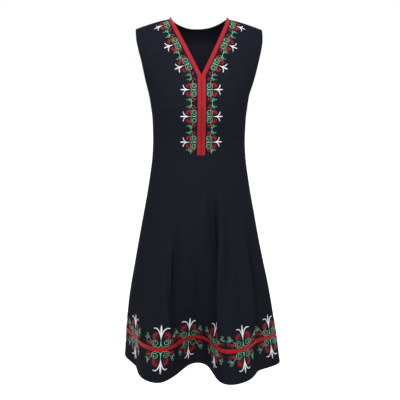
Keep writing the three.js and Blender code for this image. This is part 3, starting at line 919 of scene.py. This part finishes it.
def skirt_motif(work):
    """A quarter of a skirt motif."""
    # The spiral, with its stem to the braid.
    work.pad("forest", (17.6, 17.4), 12.4, 10.4)
    work.curl("mint", (17.6, 17.4), 12.6, 10.6, 1.8, -125, half=0.68, inner=0.2)
    work.line("mint", [(0.9, 17), (1.8, 11.5), (5.5, 7.6), (10.6, 6.9)], half=0.55)
    if work.side > 0:
        work.line("mint", [(0, 8), (0, 16), (0, 25)], half=0.8, height=0.7)
    # The white flower over a crimson fan.
    three_prongs(work, 23, 70, 36, [(4.2, 46), (8.6, 54.5), (15.4, 59.2), (23.4, 58.2)], 2.8, 1.5)
    work.fan(np.array([6.4, 28.4]), 25, 8, 68, 5, 2.1)
    # Three small curls on a stem: where, how large, and the way each starts.
    work.line("mint", [(29, 21), (33, 23.5), (37, 27.5)], half=0.55)
    for x, y, r, start in ((45, 38.5, 5.0, 200), (48.5, 29.0, 4.4, 120), (39.8, 30.6, 3.6, 300)):
        work.pad("forest", (x, y), r * 0.8, r * 0.8, height=0.35)
        work.curl("mint", (x, y), r, r, 1.3, start, half=0.5, inner=0.3, steps=18)
    work.drop("green", (51, 31), (57.5, 28), 1.4, height=0.7)
    # Four buds from one point, down to the braid.
    for x, y in ((54.5, 21.5), (53, 15), (45.5, 9.6), (37, 8.6)):
        tip, root = np.array([x, y]), np.array([31, 18.2])
        work.drop("wine", root, tip, 2.3, full=0.7, height=0.7)
        work.drop("crimson", root, lerp(root, tip, 0.7), 1.0, full=0.5, height=0.95)
        work.pad("rose", lerp(root, tip, 0.84), 0.8, 0.8, height=0.95)


def neck_motif(work, reach):
    """Half of a motif beside the neck braid, with the stem and leaf that reach halfway to the next motif."""
    # The spiral, with its stem to the braid.
    work.pad("forest", (11.2, 9.4), 8.3, 6.7)
    work.curl("mint", (11.2, 9.4), 8.3, 6.7, 1.2, -130, half=0.62, inner=0.55)
    work.curl("green", (11.2, 9.4), 5.2, 4.2, 1.4, 20, half=1.05, height=0.6, inner=0.3)
    work.line("mint", [(0.6, 9.5), (1.4, 5), (4.5, 1.6)], half=0.55)
    if work.side > 0:
        work.line("mint", [(0, 5), (0, 10), (0, 15)], half=1.0, height=0.6, steps=8)
        work.line("sand", [(0, 14), (0, 16), (0, 18)], half=1.2, height=0.7, steps=8)
    # The white flower over a crimson fan.
    three_prongs(work, 17, 50, 31, [(3.4, 35.2), (6.6, 38.2), (10.4, 39.9), (14.6, 40.6)], 1.9, 1.1)
    work.fan(np.array([4.6, 18.6]), 18.5, 10, 66, 4, 2.0)
    work.line("sand", [(1, 15), (5, 17.8), (11, 18.2), (17, 17), (19.5, 13.5)], half=0.7)
    if reach < LEAF_ROOM:
        return
    # The stem to the next motif, with a green leaf of three lobes and a crimson bud beside the braid.
    far = reach - 10
    work.line("sand", [(19.5, 13.5), (lerp(19.5, far, 0.5), 13), (far - 2, 16.5)], half=0.65, steps=10)
    work.line("mint", [(far - 2, 16.5), (far + 4, 18.2), (reach, 17.6)], half=0.75, steps=10)
    for x, y, half in ((far - 5.5, 24.5, 2.0), (far - 0.5, 29, 2.3), (far + 4.5, 25, 2.0)):
        work.drop("green", (far, 16.5), (x, y), half, height=0.7, steps=9)
        vein_tip = lerp(np.array([far, 16.5]), np.array([x, y]), 0.85)
        work.drop("mint", (far, 18), vein_tip, half * 0.4, height=0.95, steps=8)
    work.pad("mint", (far, 29.5), 1.2, 1.2, height=0.8)
    work.drop("wine", (far - 6.5, 3.2), (far + 5, 12.6), 3.0, full=0.55, height=0.75)
    work.drop("crimson", (far - 4.5, 4.4), (far + 3, 10.6), 1.4, full=0.5, height=1.0)
    work.pad("rose", (far - 3.4, 7.0), 0.8, 0.8, height=0.95)
    work.line("sand", [(far + 4.8, 12.4), (far + 4.5, 15.5), (far + 1, 17)], half=0.5, steps=8)


# Middles of the skirt's motifs, along the braid from the middle of the back.
SKIRT_MOTIFS = (101, 221, 341, 461, 605, 728, 855, 973, 1108, 1228, 1348, 1468, 1588)
SLIT_MOTIFS = (-343, -268, -192)  # heights of the motifs beside the slit
V_MOTIFS = (43, 109, 172)  # how far those beside the V lie up its edge, seen from the front
FOOT_STEM = 34  # how far the lowest one's stem runs down
LEAF_ROOM = 22  # a motif with less room than this beside it has no leaf there
FROM_BRAID = 0.4  # gap between a neck braid and the embroidery


def skirt_embroidery():
    """The motifs over and under the hem braid."""
    work = Stitching("skirt_embroidery")
    for run in SKIRT_MOTIFS:
        work.place = SKIRT.patch(float(SKIRT.turn_at(run)))
        for work.up in (1, -1):
            for work.side in (1, -1):
                skirt_motif(work)
    return work.finish()


def neck_embroidery():
    """The motifs beside the slit and the V, on both hands."""
    work = Stitching("neck_embroidery")
    rise = (NECK_Z - V_POINT_Z) / math.hypot(NECK_HALF, NECK_Z - V_POINT_Z)
    heights = [*SLIT_MOTIFS, *(V_POINT_Z + up * rise for up in V_MOTIFS)]
    middles = [NECK.height_at(z) for z in heights]
    for k, middle in enumerate(middles):
        below = (middle - middles[k - 1]) / 2 if k else FOOT_STEM
        above = (middles[k + 1] - middle) / 2 if k + 1 < len(middles) else 0
        for hand in (1, -1):

            def beside(along, out, hand=hand, middle=middle):
                return NECK.place(middle + along, BRAID_WIDTH + FROM_BRAID + out, hand)

            work.place, work.hand = beside, -hand
            for work.side, reach in ((1, above), (-1, below)):
                neck_motif(work, reach)
    return work.finish()


def braid_joining():
    """Small cross stitches that hold the two braids together over the slit."""
    work = Stitching("braid_joining")
    work.hand = -1

    def over_slit(along, out):
        points, normals = NECK.place(along, np.abs(out), np.where(out < 0, -1, 1))
        return points + normals * BRAID_THICK, normals

    for run in np.arange(NOTCH["pitch"], NECK.v_point - 3, NOTCH["pitch"]):
        work.place = lambda along, out, run=run: over_slit(run + along, out)
        work.line("wine", [(1.1, -1.9), (0, 0), (-1.1, 1.9)], half=0.7, steps=7)
        work.line("wine", [(-1.1, -1.9), (0, 0), (1.1, 1.9)], half=0.7, steps=7)
    return work.finish()


front_panel = cloth_panel("front")
back_panel = cloth_panel("back")
braids = [neck_braid("left"), neck_braid("right"), hem_braid()]
needlework = [*skirt_embroidery(), *neck_embroidery(), *braid_joining()]

# ---- Studio ----------------------------------------------------------------------------------------------

# Places and sizes here are in metres.
FLOOR_Z, FLOOR_RADIUS = -1.38, 30
STAND_BACK, LOOK_DOWN, LOOK_ROUND = 2.12, math.radians(9.5), math.radians(-4)
AIM = Vector((0.0032, 0, -0.5303))
SENSOR, FOCAL = 36, 61.55
ROOM_LIGHT = 0.11  # of the walls round the sides and front, against 1 behind
# Place, width and watts of each lamp.
LAMPS = table(
    "x y z size power",
    (-0.1, -1.42, 0.82, 1.9, 43),
    (2.3, 0.4, 0.5, 0.8, 5),
    (-2.3, 0.4, 0.5, 0.8, 4),
)
LAMPS_AIM = Vector((0, 0, -0.5))


def white_room(scene):
    """A white backdrop behind the dress in a dimmer room."""
    scene.view_settings.view_transform = "Standard"
    world = bpy.data.worlds.new("white_room")
    scene.world = world
    world.use_nodes = True
    way = add_node(world.node_tree, "ShaderNodeTexCoord").outputs["Generated"]
    behind = add_node(world.node_tree, "ShaderNodeSeparateXYZ", {"Vector": way}).outputs["Y"]
    wall = add_node(
        world.node_tree, "ShaderNodeMapRange",
        {"Value": behind, "From Min": -0.3, "From Max": 0.85, "To Min": ROOM_LIGHT, "To Max": 1.0},
    )
    backdrop = world.node_tree.nodes["Background"]
    backdrop.inputs["Color"].default_value = (1, 1, 1, 1)
    world.node_tree.links.new(wall.outputs["Result"], backdrop.inputs["Strength"])


def camera(scene):
    """A long lens that looks a little down, from a little to the wearer's right."""
    made = bpy.data.objects.new("camera", bpy.data.cameras.new("camera"))
    scene.collection.objects.link(made)
    scene.camera = made
    made.data.sensor_width, made.data.lens = SENSOR, FOCAL
    level = math.cos(LOOK_DOWN)
    back = Vector((math.sin(LOOK_ROUND) * level, -math.cos(LOOK_ROUND) * level, math.sin(LOOK_DOWN)))
    made.location = AIM + back * STAND_BACK
    made.rotation_euler = (-back).to_track_quat("-Z", "Y").to_euler()


def opal_acrylic_floor():
    """Opal acrylic sheet, cast matt, with a painted glow: strong behind the dress, where it makes a white
    ground, and faint in front.
    """
    material, tree = new_material("opal_acrylic_floor")
    place = add_node(tree, "ShaderNodeTexCoord").outputs["Object"]
    reach = add_node(tree, "ShaderNodeSeparateXYZ", {"Vector": place})
    # Painted light: the sheet glows with no lamp under it, more towards the back.
    painted_glow = add_node(
        tree, "ShaderNodeMapRange",
        {"Value": reach.outputs["Y"], "From Min": -0.1, "From Max": 0.4, "To Min": 0.02, "To Max": 0.85},
    )
    grain = add_node(tree, "ShaderNodeTexNoise", {"Scale": 6.0, "Detail": 2.0})
    tone = blend(tree, grain.outputs["Fac"], colour("#e6e6e6"), colour("#eeeeee"))
    glow = {"Emission Color": (1, 1, 1, 1), "Emission Strength": painted_glow.outputs["Result"]}
    finish_material(tree, {"Base Color": tone, "Roughness": 0.9, "Specular IOR Level": 0.1, **glow})
    return material


def floor():
    """The ground, well below the hem, because the wearer's shoulders hold the dress up."""
    bpy.ops.mesh.primitive_circle_add(
        vertices=96, radius=FLOOR_RADIUS, fill_type="NGON", location=(0, 0, FLOOR_Z),
    )
    made = bpy.context.object
    made.name = "floor"
    made.data.materials.append(opal_acrylic_floor())


def soft_lamps(scene):
    """Large round lamps, which the camera doesn't see."""
    for k, (x, y, z, size, power) in enumerate(zip(*LAMPS.values())):
        lamp = bpy.data.objects.new(f"soft_lamp_{k}", bpy.data.lights.new(f"soft_lamp_{k}", "AREA"))
        lamp.data.shape, lamp.data.size, lamp.data.energy = "DISK", size, power
        lamp.location = (x, y, z)
        lamp.visible_camera = False
        lamp.rotation_euler = (LAMPS_AIM - lamp.location).to_track_quat("-Z", "Y").to_euler()
        scene.collection.objects.link(lamp)


white_room(bpy.context.scene)
camera(bpy.context.scene)
floor()
soft_lamps(bpy.context.scene)
